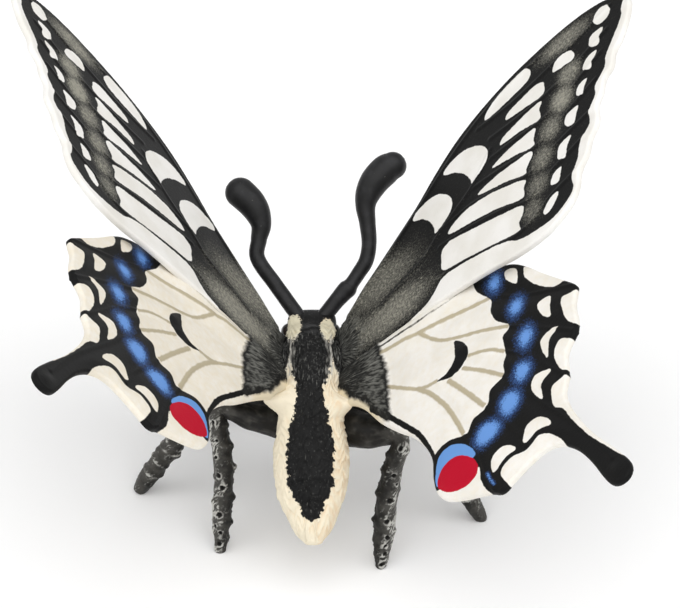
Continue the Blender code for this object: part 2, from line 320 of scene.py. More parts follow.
# Black-brown PVC with silver paint dragged dry over the raised parts, so that only crests catch it.
legPaint = paintedMaterial({
    "name": "dryBrushedPvcLeg", "bare": ("#181715", 0.5), "shine": 0.2,
    "noises": {"fine": (0.5, 3.0), "broad": (1.8, 2.0)},
    "layers": (
        # grey on the outer side of the shin and streaks on the thigh: partly dry-brushed paint, partly a
        # painted sheen
        ("outer", "broad", 1.8, 1.05, 2.05, 0.48, "#5E5C57", 0.5),
        ("crest", "fine", 0.8, 0.6, 1.2, 1.0, "#B9B8B2", 0.45),
    ),
    "bump": ("fine", 0.08),
})

# Moulded PVC in satin black, smooth, with a few dust specks of paint.
antennaPaint = paintedMaterial({
    "name": "satinPvcAntenna", "bare": ("#1B1B1C", 0.42), "shine": 0.25,
    "noises": {"broad": (2.0, 4.0), "fine": (0.45, 2.0)},
    "layers": (
        ("everywhere", "broad", 1.0, 0.45, 0.75, 1.0, "#28282A", 0.45),
        ("everywhere", "fine", 1.0, 0.72, 0.8, 0.5, "#85857F", 0.5),
    ),
    "bump": ("broad", 0.04),
})

# Gloss black paint on a smooth bead.
eyePaint = paintedMaterial({
    "name": "glossPaintedEye", "bare": ("#161412", 0.18), "shine": 0.5,
    "noises": {"fine": (1.4, 2.0)},
    "layers": (
        ("everywhere", "fine", 1.0, 0.4, 0.7, 1.0, "#2E2622", 0.2),
    ),
    "bump": ("fine", 0.02),
})
print("materials made")

# wings
wingShape = {
    "thickness": 1.2, "softEdge": 0.35, "net": 0.26,
    "veinHeight": 0.16, "paintDip": 0.05, "foldHeight": 0.18, "middleSwell": 0.3,
    # how far the fur at the root stands up, bare and at the crest of a hair
    "tuftRise": {"forewing": (0.2, 0.25), "hindwing": (0.35, 0.3)}, "tuftReach": 6.0,
    # root, dihedral, pitch and yaw of each wing
    "poses": {
        "right_forewing": ((5.2, 3.0, 30.0), 46.6, 8.1, 4.3),
        "left_forewing": ((-4.6, 2.1, 29.6), 50.8, -6.2, -0.3),
        "right_hindwing": ((5.5, -2.0, 29.0), 42.6, 5.5, 4.1),
        "left_hindwing": ((-5.3, -1.5, 29.9), 47.3, -8.4, -1.9),
    },
    "forewing": (
        (-4.5, 3.6), (0.0, 6.6), (5.0, 11.2), (10.0, 14.4), (15.0, 17.6), (20.0, 20.9), (25.0, 25.0),
        (30.0, 28.5), (35.0, 30.9), (40.0, 32.6), (45.0, 33.8), (50.0, 34.5), (55.0, 34.9), (60.0, 34.9),
        (64.0, 34.4), (67.5, 33.4), (70.5, 31.6), (72.1, 29.3), (71.9, 27.2), (70.8, 24.4), (69.1, 21.6),
        (67.2, 19.6), (66.3, 16.8), (64.4, 15.4), (63.4, 12.8), (62.0, 10.6), (61.6, 6.8), (59.6, 4.2),
        (58.4, 1.4), (56.4, -0.9), (55.6, -3.7), (54.2, -6.2), (51.6, -7.9), (47.3, -9.2), (41.4, -8.9),
        (35.6, -7.5), (30.9, -6.6), (24.4, -5.6), (17.9, -4.8), (12.0, -4.4), (8.2, -4.2), (4.4, -3.8),
        (0.0, -3.5), (-4.5, -3.2),
    ),
    # the front edge of each hindwing, hidden under its forewing
    "hindFronts": {
        "right": ((-4.5, 2.2), (5.0, 2.2), (9.0, 1.9), (13.0, 1.6), (18.5, 1.3), (24.5, 1.6)),
        "left": ((-4.5, 1.4), (4.5, 1.2), (8.5, 1.0), (12.5, 0.8), (18.5, 0.6), (24.5, 1.2)),
    },
    "hindBacks": {
        "right": ((3.8, -10.9), (1.0, -7.4), (-1.5, -6.2), (-4.5, -5.8)),
        "left": ((3.5, -12.1), (1.8, -10.2), (0.6, -7.5), (-0.8, -5.0), (-2.5, -3.2), (-4.5, -2.4)),
    },
    # the seam's place forward, and how far the hindwing swells up to meet the forewing along it, by distance
    # outwards
    "seams": {
        "right": (0.0, ((-4, 0.0), (0, 0.15), (6, 0.55), (10, 0.85), (15, 1.15), (20, 1.4), (24, 1.3),
                        (29, 0.5), (33, 0))),
        "left": (-1.5, ((-4, 0.0), (0, 0.2), (6, 0.65), (10, 0.95), (15, 1.25), (20, 1.4), (24, 1.2),
                        (29, 0.4), (33, 0))),
    },
    "hindwing": (
        (31.5, 1.2), (37.1, -1.2), (40.3, -4.4), (43.2, -8.5), (46.8, -13.2), (49.1, -16.2), (49.4, -17.6),
        (48.5, -20.7), (48.6, -24.2), (48.0, -26.8), (45.8, -29.7), (45.4, -32.2), (45.1, -35.3),
        (44.2, -37.9), (44.4, -40.9), (45.9, -45.6), (48.3, -51.0), (51.3, -56.2), (53.5, -60.4),
        (54.0, -62.6), (53.2, -64.1), (51.6, -64.5), (50.0, -63.6), (48.8, -61.2), (47.1, -56.6),
        (44.9, -52.2), (42.2, -49.0), (39.1, -47.6), (35.6, -48.1), (32.4, -49.2), (29.7, -50.2),
        (27.3, -48.6), (22.7, -46.3), (19.3, -44.3), (17.5, -42.2), (16.8, -39.8), (16.6, -36.8),
        (16.8, -33.2), (15.6, -29.1), (13.1, -24.7), (10.2, -21.2), (6.7, -16.3),
    ),
}

forewingPaint = {
    # everything inside this loop is black, apart from the cream cells cut out of it
    "black": (
        (-8, -8), (4, -6), (8.5, -5), (15, -4.6), (19.7, -4.2), (22.1, -2.9), (24.7, -0.9), (30.3, -1.6),
        (36.2, -3.2), (40, -4.75), (41.5, -5.9), (45, -6.9), (49.7, -7.2), (52.9, -5.9), (54.7, -4.1),
        (54.7, -1.5), (56.5, 1.8), (57.4, 4.7), (60, 7.4), (60.3, 10.3), (62.1, 12.9), (62.4, 15),
        (65, 17.6), (65.6, 20), (68.2, 23.5), (70, 26.2), (70.9, 29.4), (76, 36), (60, 44), (30, 38),
        (-8, 18),
    ),
    "cells": (
        ((37.9, 28.5), (38.8, 27.8), (45, 28.4), (48.2, 29.1), (49.4, 30.6), (48.5, 32.2), (46.8, 32.5),
         (42.6, 31.5), (39.1, 30)),
        ((42.6, 24.7), (42.9, 23.8), (47.1, 23.2), (51.2, 22.9), (51.8, 25), (51.5, 25.9), (49.7, 26.5),
         (46.2, 26), (43.5, 25.4)),
        ((40.6, 19.4), (41.2, 18.9), (45.6, 18.5), (49.7, 17.6), (50, 20), (50.6, 21.6), (46.8, 21.5),
         (43.2, 20.9), (41.2, 20.3)),
        ((38.2, 15.3), (39.7, 14.8), (43.8, 13.8), (47.6, 12.5), (47.9, 14.1), (48.6, 16.4), (45.6, 16.6),
         (42.1, 16.5), (39.4, 15.9)),
        ((34.4, 11.8), (36.2, 10.9), (40.9, 9.4), (45, 7.6), (45.6, 8.8), (47.1, 10.6), (46.8, 11.8),
         (43.8, 12.2), (40.3, 12.6), (36.8, 12.5)),
        ((26.8, 8.5), (27.9, 7.6), (32.6, 6.5), (37.9, 5), (43.8, 2.6), (44.4, 4.7), (45, 6.2), (41.5, 7.9),
         (36.2, 9.7), (31.5, 10.3), (28.5, 9.7)),
        ((25, 5.3), (24.7, 3.5), (25, 0.6), (30.3, -0.9), (36.2, -2.6), (42.1, -4.2), (42.4, -2.4),
         (43.8, -0.3), (43.2, 1.2), (38.5, 2.9), (32.6, 4.7), (27.9, 6), (26.2, 6)),
        # the two crescents in the cell
        ((27.2, 23.2), (27.9, 24.1), (30.3, 24.9), (33.2, 24.7), (36.2, 22.9), (37.6, 20.6), (37.6, 18.8),
         (36.2, 17.1), (33.5, 15.5), (33.1, 16.8), (31.8, 19.4), (29.7, 21.5), (27.9, 22.5)),
        ((19.2, 18.2), (20.3, 19.3), (22.9, 20), (25.6, 19.4), (27.9, 17.1), (28.4, 14.4), (27.1, 12.4),
         (24.1, 10.7), (23.8, 12.4), (22.9, 14.7), (21.5, 16.5), (20, 17.4)),
        # spots along the outer edge
        ((64.2, 30.3), (64.8, 31.7), (66.1, 32.2), (67.5, 31.7), (68, 30.3), (67.4, 28.9), (66.1, 28.4),
         (64.8, 28.9)),
        ((62.5, 25.9), (63.2, 27.4), (65.6, 27.4), (65.9, 26.8), (65, 25.6), (64.4, 24.1), (62.9, 24.6)),
        ((60.4, 21.5), (61.5, 22.9), (63.5, 23.2), (63.8, 22.6), (62.6, 21.2), (62.1, 19.9), (60.6, 20.6)),
        ((58.2, 16.8), (59.1, 18.2), (61, 18.2), (60, 16.8), (59.7, 15.3), (58.5, 15.9)),
        ((54.9, 12.1), (55.6, 13.5), (58.2, 13.7), (57.6, 12.1), (56.8, 10.3), (55.3, 10.9)),
        ((52.4, 5.9), (53.2, 7.9), (55.9, 8.2), (54.7, 6.5), (54.1, 4.1), (52.6, 4.7)),
        ((50.2, 1.2), (51.2, 2.6), (52.9, 2.8), (52.5, 1.5), (51.8, -0.1), (50.4, 0.3)),
        ((47.9, -4), (49.4, -2.6), (51.3, -2.2), (51.2, -3.2), (49.7, -4.7), (48.2, -5.2)),
        ((54, 26.5), (54.7, 27.9), (56.8, 28.4), (58.5, 27.8), (59.1, 26.2), (58.5, 25.4), (56.2, 25.6),
         (54.4, 25.9)),
    ),
    # soft patches of grey scales: outward, forward, half length, half width, strength
    "dust": (
        (10, 9.5, 9.5, 5.2, 0.74), (12, 0.5, 10, 4.2, 0.88), (3.5, 2, 4, 5, 0.6), (17, 8.5, 5, 6, 0.4),
        (57.4, 22.9, 2.7, 2.8, 0.9), (55, 18.2, 2.6, 2.9, 1.1), (51.8, 13.5, 2.6, 2.9, 0.82),
        (49.1, 8.2, 2.6, 2.8, 0.8), (47.4, 2.9, 2.6, 2.7, 0.72), (45.6, -1.8, 2.4, 2.7, 0.65),
        (57.4, 31.6, 6.0, 2.4, 0.85),
    ),
    "dustStrength": {"right": 1.06, "left": 1.25},
    # the seam line: the side wall of the trailing edge is inked dark here, partly paint and partly painted
    # shadow in the seam
    "seamInkAndShade": ((2, -3.9), (5, -4.1), (8.2, -4.4), (11.0, -4.6)),
    "plainLines": (((9.7, 4.1), (15, 5.8), (20.3, 7)),),
    "veins": (
        ((36, 27.3), (44, 26.9), (51, 27.6), (60, 29.2), (68, 31)),
        ((38.5, 22.6), (45, 22.2), (51, 22.2), (58, 23.4), (66.5, 26)),
        ((38, 17.8), (44, 17.6), (50, 17.1), (57, 18.9), (64.5, 21.8)),
        ((33.5, 14.2), (40, 13.4), (47.6, 12.1), (54, 13.6), (62.5, 16.5)),
        ((25, 10.6), (33, 10.6), (40, 8.8), (45.6, 7), (52, 8.6), (60.5, 10.2)),
        ((24.6, 6.8), (32, 5.6), (40, 3.4), (44.4, 1.4), (50, 3.4), (58.5, 5.6)),
        ((20, -1.5), (25, -0.3), (33, -2), (42, -4.6), (50, -1.9), (56, -0.6)),
        ((3, 3), (9.7, 4.1), (20.3, 7), (25, 10.2), (33, 14.6), (38.2, 20)),
        ((2, 8), (20, 19.4), (30, 26.2), (40, 30.8), (52, 32.6)),
    ),
}

hindwingPaint = {
    "black": (
        (29.7, 4), (29.7, 0), (30.3, -3.2), (32.6, -6.8), (32.4, -9.7), (33.2, -12.6), (35.6, -15.6),
        (34.1, -17.4), (34.1, -21.5), (33.4, -23.8), (33.1, -25.9), (30.3, -27.4), (29.1, -30), (26.2, -31.2),
        (24.4, -32.9), (20.9, -32.1), (17.8, -32.8), (16.9, -35), (16.8, -40), (18.5, -41), (22, -40.5),
        (25.5, -41), (26, -43.6), (26.8, -47.4), (29.5, -51.5), (31.4, -49.9), (31, -47.4), (34, -52),
        (44, -72), (64, -75), (70, -50), (68, 0), (45, 12), (32, 8),
    ),
    "cells": (
        # lunules
        ((36.4, -2.6), (38.5, -3.8), (38.4, -7.4), (37.1, -6.2), (36.2, -4.4)),
        ((41.8, -15.6), (44.4, -15.6), (44.1, -18.5), (43.9, -20.3), (42.4, -18.8)),
        ((41.2, -25), (42.6, -23.2), (45, -23.5), (43.2, -25), (42.1, -28.8)),
        ((38.2, -32.4), (39.7, -30.9), (42.4, -31.8), (40.3, -33.8), (40, -36.8), (38.5, -34.4)),
        ((35.3, -42.6), (36.2, -40.6), (38.8, -40.3), (40.6, -42.1), (40.9, -43.7), (38.5, -43.1),
         (35.6, -43.7)),
        ((28.6, -45), (28.8, -42.4), (31.2, -41.4), (33.2, -42.6), (33.5, -43.9), (31.5, -44.1),
         (29.7, -45.3)),
        # patches on the edge, which run on past it
        ((40, -7.1), (40.3, -4.2), (43, -4.5), (47, -9.5), (49, -13), (47.1, -14.1), (45, -13.8),
         (42.1, -10.9)),
        ((46.5, -18.2), (48.5, -18), (52, -18), (52, -26), (48.8, -25.6), (47.4, -24.4), (46.5, -22.1)),
        ((43.5, -29.4), (45, -26.9), (47, -28), (50, -31), (49, -34.4), (45.6, -34.1), (44.1, -32.9)),
        ((30.3, -46.5), (32.6, -45), (35.6, -45.3), (38.5, -44.4), (40.9, -45.9), (42.9, -49.4), (42, -53),
         (36, -53), (32, -53), (31.2, -49.8)),
        # the cream below the eyespot
        ((17.2, -40.8), (19.7, -42.9), (22.6, -44.2), (25.2, -43.8), (26.1, -42), (26.2, -46), (26.6, -51),
         (14, -48), (14, -41)),
    ),
    # the cream strip along the outer side of each tail
    "tailStrips": {
        "right": ((41.8, -38.5), (42.6, -35.6), (47, -35.6), (48, -41), (50, -46), (52.5, -51), (55, -57),
                  (54.6, -60.2), (53.0, -59.6), (50.9, -56.4), (47.7, -51.3), (45.1, -45.8), (43.6, -42),
                  (42.1, -40.3)),
        "left": ((41.8, -38.5), (42.6, -35.6), (47, -35.6), (48, -41), (50, -46), (52.5, -51), (53, -55.5),
                 (50.9, -55.6), (49.4, -53.2), (47.9, -50.6), (45.7, -46), (43.9, -42), (42.1, -40.3)),
    },
    "inkLines": (
        (((7.2, -14.6), (8.6, -16.4), (11.6, -20.8), (14.9, -25.9), (16.8, -31.2), (17.4, -34)), 0.5),
        (((5.6, -12.2), (7.2, -14.4), (9.0, -17)), 0.7),
    ),
    # the line in the seam with the forewing, black at the root and thinning to grey, and its half widths by
    # distance outwards: partly black paint and partly painted shadow of the forewing's edge
    "seamLines": {
        "right": ((-1.5, 0.8), (5, 0.4), (9, -0.4), (13, -0.9), (18.5, -1.4), (24.5, -1.6), (29, -0.9)),
        "left": ((-1.5, -0.5), (4.5, -0.8), (8.5, -1.3), (12.5, -1.6), (18.5, -1.9), (24.5, -1.6),
                 (29, -1.2)),
    },
    "seamWidths": {
        "right": ((0, 0.35), (10, 0.24), (18, 0.18), (24, 0.05)),
        "left": ((0, 0.3), (7, 0.1), (11, -0.3)),
    },
    "inkSpots": (
        ((24.1, -10.3), (25.3, -11.2), (26.8, -13.8), (26.2, -16.2), (23.8, -17.9), (21.5, -17.6),
         (19.7, -16.9), (22.1, -16.5), (23.8, -15), (24.2, -12.6)),
    ),
    # airbrushed blue: outward, forward, half width, half height
    "sky": (
        (33.9, -3.4, 1.8, 2.9), (37.5, -12.6, 1.9, 2.6), (38.5, -20.9, 2.0, 2.9), (36.9, -28.0, 2.2, 2.6),
        (33.7, -33.0, 2.6, 3.1), (28.6, -36.1, 3.1, 2.8),
    ),
    "skyStreak": ((27.6, -44.6), (28.0, -46.2), (28.6, -47.8)),
    "blue": ((17.3, -40), (17.6, -36.2), (18.5, -34.1), (20.9, -33.4), (23.8, -35), (25.7, -38.5),
             (24, -39.5), (20, -40)),
    "red": ((17.5, -39.1), (18.5, -37.1), (20.9, -36), (23.2, -36.8), (25.3, -39.1), (25.9, -41.5),
            (25, -43.5), (22.6, -43.9), (19.7, -42.6), (17.9, -40.6)),
    "tanLines": (
        ((8.8, -1.8), (17.4, -3.2), (24.4, -4.4), (32.4, -6.2)),
        ((17.4, -3.2), (20.9, -7.4), (24.4, -9.7), (30.3, -12.6), (35.3, -15.6)),
        ((9.7, -10.3), (15.6, -15.3), (19.7, -16.8)),
        ((15.6, -15.3), (18.5, -19.1), (21.5, -25), (23.8, -32.4)),
        ((22.1, -18.5), (25, -23.2), (28.5, -29.4)),
        ((25.3, -17.9), (29.1, -21.5), (32.9, -25.6)),
        ((26.8, -15.9), (30.9, -17.9), (33.8, -20.6)),
    ),
    # half width of each tan line, in the same order
    "tanWidths": (0.4, 0.4, 0.42, 0.5, 0.52, 0.44, 0.42),
    "furPatch": ((-6, 4), (6, 3.5), (8.8, 1.5), (9.7, -2.5), (10.1, -7), (10, -11), (9.8, -14), (9.4, -18),
                 (6, -18), (2.2, -12), (0.8, -5.8), (-1.5, -2.4), (-6, -1)),
    "rimWidth": 0.8, "eyespotShifts": {"right": -0.45, "left": 0.4},
    # the left hindwing's larger share is painted shade, which darkens that wing
    "warmth": {"right": 0.25, "left": 0.45},  # the least warm tint that a wing has all over
    # folds of the moulding, which run on over the black band to the tips of the edge
    "folds": (
        ((17.4, -3.2), (24.4, -4.4), (32.4, -6.2), (40, -11.5), (49.2, -16.6)),
        ((17.4, -3.2), (20.9, -7.4), (24.4, -9.7), (30.3, -12.6), (35.3, -15.6), (41, -20.5), (48.2, -27)),
        ((26.8, -15.9), (33.8, -20.6), (38, -24.5), (41.5, -30), (45.1, -35.2)),
        ((25.3, -17.9), (32.9, -25.6), (35.5, -30.2), (40, -38), (46, -48), (51, -59)),
        ((22.1, -18.5), (28.5, -29.4), (31, -34.5), (34, -39.5), (35.5, -44.5)),
        ((15.6, -15.3), (18.5, -19.1), (21.5, -25), (23.8, -32.4), (26.2, -38), (27.2, -44), (28.5, -49.5)),
    ),
}


def wingPlate(outline):
    # the flat outline is drawn out to a plate, softened at its edges, and made a fine even net
    rim = smoothLoop(outline, 4)
    bpy.ops.object.select_all(action="DESELECT")
    bpy.ops.mesh.primitive_circle_add(vertices=len(rim), radius=1, fill_type="NGON")
    piece = bpy.context.object
    writePoints(piece, np.column_stack([rim, np.zeros(len(rim))]))
    bpy.ops.object.mode_set(mode="EDIT")
    bpy.ops.mesh.select_all(action="SELECT")
    bpy.ops.mesh.extrude_region_move(TRANSFORM_OT_translate={"value": (0, 0, -wingShape["thickness"])})
    bpy.ops.mesh.select_all(action="SELECT")
    bpy.ops.mesh.normals_make_consistent(inside=False)
    bpy.ops.object.mode_set(mode="OBJECT")
    soft = piece.modifiers.new("softEdge", "BEVEL")
    soft.width, soft.segments, soft.limit_method, soft.angle_limit = wingShape["softEdge"], 3, "ANGLE", 1.0
    net = piece.modifiers.new("fineNet", "REMESH")
    net.mode, net.voxel_size = "VOXEL", wingShape["net"]
    applyModifiers(piece)
    return piece


def wingPlace(name):
    root, dihedral, pitch, yaw = wingShape["poses"][name]
    side = -1 if name.startswith("left") else 1
    turn = (Matrix.Rotation(math.radians(pitch), 4, "X")
            @ Matrix.Rotation(math.radians(-side * dihedral), 4, "Y")
            @ Matrix.Rotation(math.radians(side * yaw), 4, "Z"))
    return Matrix.Translation(root) @ turn @ Matrix.Diagonal((side, 1, 1, 1))


def blobs(place, patches):
    total = np.zeros(len(place))
    for outward, forward, halfLength, halfWidth, strength in patches:
        gap = ((place[:, 0] - outward) / halfLength) ** 2 + ((place[:, 1] - forward) / halfWidth) ** 2
        total = np.maximum(total, strength * np.exp(-0.7 * gap ** 1.5))
    return total


def upperShare(depth):
    # 1 on the upper face of a wing and -1 on the lower one
    return depth / (wingShape["thickness"] / 2) + 1


def makeForewing(name):
    side = name.split("_")[0]
    piece = wingPlate(wingShape["forewing"])
    points = readPoints(piece)
    place, depth = points[:, :2], points[:, 2].copy()
    ink = insideLoop(place, forewingPaint["black"], 6)
    for cell in forewingPaint["cells"]:
        ink = np.minimum(ink, -insideLoop(place, cell))
    ink = np.maximum(ink, nearLine(place, forewingPaint["veins"][6][:4], 0.32))
    # painted shadow, partly real ink: the lower side wall of the trailing edge is darkened along the seam
    ink = np.maximum(ink, np.minimum(nearLine(place, forewingPaint["seamInkAndShade"], 0.35), -depth - 0.2))
    dust = blobs(place, forewingPaint["dust"]) * forewingPaint["dustStrength"][side]
    for line in forewingPaint["plainLines"]:
        dust *= 1 - 0.55 * softStep(nearLine(place, line, 0.5), -0.5, 0.3)
    # silver is a thin line on each vein, laid in the grey paint where there is dusting: a painted highlight
    # for light glinting on the raised veins
    ridge, silver = np.zeros(len(place)), np.zeros(len(place))
    for vein in forewingPaint["veins"]:
        gap = nearLine(place, vein, 0.0)
        ridge = np.maximum(ridge, softStep(gap, -0.7, 0))
        silver = np.maximum(silver, softStep(gap, -0.2, 0))
    dust = np.maximum(dust, 0.75 * silver * softStep(dust, 0.02, 0.3)) * softStep(ink, 0, 0.4)
    reach = np.hypot(place[:, 0] + 2, place[:, 1] - 1)
    aim = np.arctan2(place[:, 1] - 1, place[:, 0] + 2)
    hair = strokes(aim * 9, reach, 0.45, 2.2, 11)
    tuft = softStep(wingShape["tuftReach"] - reach + 2.0 * (hair - 0.5), -2.5, 1.5)
    face = upperShare(depth)
    bare, crest = wingShape["tuftRise"]["forewing"]
    points[:, 2] += face * (wingShape["veinHeight"] * ridge - wingShape["paintDip"] * (ink > 0))
    points[:, 2] += face.clip(0, 1) * tuft * (bare + crest * hair)
    writePoints(piece, points)
    tips = softStep(16 - reach, 0, 11) * (1.1 + 0.4 * hair) - 0.8
    keepFields(piece, ink=ink, dust=dust, fur=2 * tuft - 1, tips=tips,
               across=aim * 24, along=reach * 0.6)
    nothing = np.full(len(place), noPaint)
    keepFields(piece, sky=nothing, blue=nothing, red=nothing, tan=nothing, warm=nothing)
    placePiece(piece, name + "_painted", wingPlace(name), wingPaint, [name])


def makeHindwing(name):
    side = name.split("_")[0]
    outline = wingShape["hindFronts"][side] + wingShape["hindwing"] + wingShape["hindBacks"][side]
    piece = wingPlate(outline)
    points = readPoints(piece)
    place, depth = points[:, :2], points[:, 2].copy()
    ink = insideLoop(place, hindwingPaint["black"], 6)
    for cell in (*hindwingPaint["cells"], hindwingPaint["tailStrips"][side]):
        ink = np.minimum(ink, -insideLoop(place, cell))
    for line, halfWidth in hindwingPaint["inkLines"]:
        ink = np.maximum(ink, nearLine(place, line, halfWidth))
    for spot in hindwingPaint["inkSpots"]:
        ink = np.maximum(ink, insideLoop(place, spot))
    # the seam line: dark paint near the root, and painted shadow of the forewing's edge along the rest
    seamInkAndShade = nearLine(place, hindwingPaint["seamLines"][side], 0.0)
    ink = np.maximum(ink, seamInkAndShade + np.interp(place[:, 0], *np.array(hindwingPaint["seamWidths"][side]).T))
    sky = np.full(len(place), noPaint)
    for outward, forward, halfWidth, halfHeight in hindwingPaint["sky"]:
        gap = np.hypot((place[:, 0] - outward) / halfWidth, (place[:, 1] - forward) / halfHeight)
        sky = np.maximum(sky, (1 - gap) * min(halfWidth, halfHeight))
    sky = np.minimum(sky, ink * 2)
    if side == "right":
        sky = np.maximum(sky, 4 * nearLine(place, hindwingPaint["skyStreak"], 0.3))
    tan = np.full(len(place), noPaint)
    for line, halfWidth in zip(hindwingPaint["tanLines"], hindwingPaint["tanWidths"]):
        tan = np.maximum(tan, nearLine(place, line, halfWidth))
    inner = insideLoop(place, outline, 4)
    reach = np.hypot(place[:, 0] + 4, place[:, 1] + 1)
    aim = np.arctan2(place[:, 1] + 1, place[:, 0] + 4)
    hair = strokes(aim * 11, reach, 0.45, 2.0, 21)
    fur = np.minimum(insideLoop(place, hindwingPaint["furPatch"]), inner - hindwingPaint["rimWidth"])
    fur += 0.7 * (hair - 0.6)
    tuft = softStep(fur, -0.4, 1.4)
    fold = np.full(len(place), noPaint)
    for line in hindwingPaint["folds"]:
        fold = np.maximum(fold, nearLine(place, line, 0.0, 3.0))
    face = upperShare(depth)
    bare, crest = wingShape["tuftRise"]["hindwing"]
    points[:, 2] += face * wingShape["foldHeight"] * softStep(fold, -0.55, 0)
    points[:, 2] += face.clip(0, 1) * tuft * (bare + crest * hair) * softStep(inner, 0.2, 1.4)
    points[:, 2] += wingShape["middleSwell"] * softStep(-fold, 0, 3.0) * softStep(inner, 0, 3)
    seamLine, seamRises = wingShape["seams"][side]
    nearSeam = 1 - softStep(seamLine - place[:, 1], 0.3, 6)
    points[:, 2] += np.interp(place[:, 0], *np.array(seamRises).T) * nearSeam
    writePoints(piece, points)
    outerTips = 0.4 + 0.45 * softStep(reach, 7, 13)
    tips = tuft * outerTips * (0.5 + 0.6 * hair) + 0.8 * (tuft - 1)
    warmRim = softStep(24 - reach, 0, 9) * softStep(-inner, -1.6, -0.6)
    spot = place - np.array((0, hindwingPaint["eyespotShifts"][side]))
    keepFields(piece, ink=ink, sky=sky, tan=tan, fur=fur, tips=tips,
               blue=insideLoop(place, hindwingPaint["blue"]), red=insideLoop(spot, hindwingPaint["red"]),
               # warm tint: real near the root and rim, and painted shade in the larger floor of the left
               # hindwing
               warm=np.maximum(warmRim, softStep(9 - reach, 0, 3)).clip(hindwingPaint["warmth"][side], 1),
               # grey paint along the seam: painted shadow of the forewing's edge
               dust=softStep(seamInkAndShade, -0.3, -0.05) * 1.1 - 0.2,
               across=aim * 32, along=reach * 0.6)
    placePiece(piece, name + "_painted", wingPlace(name), wingPaint, [name])


for wingName in wingShape["poses"]:
    (makeForewing if wingName.endswith("forewing") else makeHindwing)(wingName)
    print(wingName, "made")

# body
body = {
    # forward, up, half width and half height from nose to tail tip
    "stations": (
        (14.3, 28.7, 1.6, 1.5), (13.2, 29.1, 3.9, 2.9), (11.1, 29.4, 4.5, 3.3), (8.7, 29.4, 4.2, 3.3),
        (6.0, 29.2, 4.9, 4.6), (1.2, 28.2, 5.6, 5.7), (-3.8, 25.4, 5.4, 5.3), (-7.6, 22.6, 5.7, 5.2),
        (-11.8, 19.6, 6.4, 5.6), (-16.4, 16.4, 5.9, 5.0), (-19.9, 13.9, 4.4, 3.8), (-22.6, 12.1, 2.9, 2.6),
        (-23.9, 11.2, 1.5, 1.3),
    ),
    "caps": (1.4, 0.6), "sides": 280, "rings": 340, "stripeShift": -0.12, "tailLean": 0.04,
    # the black stripe down the back: distance from the nose, half width
    "stripe": (
        (-2, 2.4), (0, 2.6), (5, 2.6), (9, 3.8), (13.2, 3.8), (15, 3.2), (16.5, 2.8), (17.4, 2.4),
        (20.2, 2.1), (22, 2.6), (24.4, 3.3), (27.4, 3.6), (28.6, 3.95), (31.7, 3.85), (32.8, 3.7),
        (34.6, 3.6), (36.6, 3.0), (37.8, 2.3), (39.5, 1.6), (40.5, 1.0), (41.1, 0), (41.6, -1.5), (45, -3),
    ),
    # the head is black but for a cream oval on each side: sideways, distance from the nose, half width
    # and half length
    "headEnd": 9.8, "cheeks": {"left": (2.85, 6.9, 1.15, 3.8), "right": (2.8, 7.6, 1.22, 3.3)},
    # the thin light line that runs back from each cheek, and the dark flank below it
    "shoulderLine": ((3.35, 9.0), (3.35, 11), (3.4, 13), (3.55, 14.5), (3.5, 16)),
    "darkSide": ((3.6, 10), (3.6, 13), (4.0, 14.6), (4.9, 16.0), (5.6, 17.2), (7, 18.2), (9, 18.6),
                 (13, 18.6), (16, 14), (16, -4), (8, -4), (3.0, -4), (4.2, 0), (4.7, 4), (4.7, 7.5)),
    # tufts that run out to the inner edges of the hindwings: side, distance, angle from the top, height
    "flares": ((1, 20.9, 0.88, 3.3), (-1, 20.2, 0.95, 4.2)),
    "grooves": (34.4, 37.6),
    # heights of the relief over the smooth skin, below zero for a hollow
    "heights": {
        "hair": 0.18, "clumps": 0.52, "stripe": 0.1, "stripeHair": 0.16, "cheek": 0.35, "crown": -0.3,
        "brow": 0.6, "groove": -0.3, "skin": -0.3,
    },
}


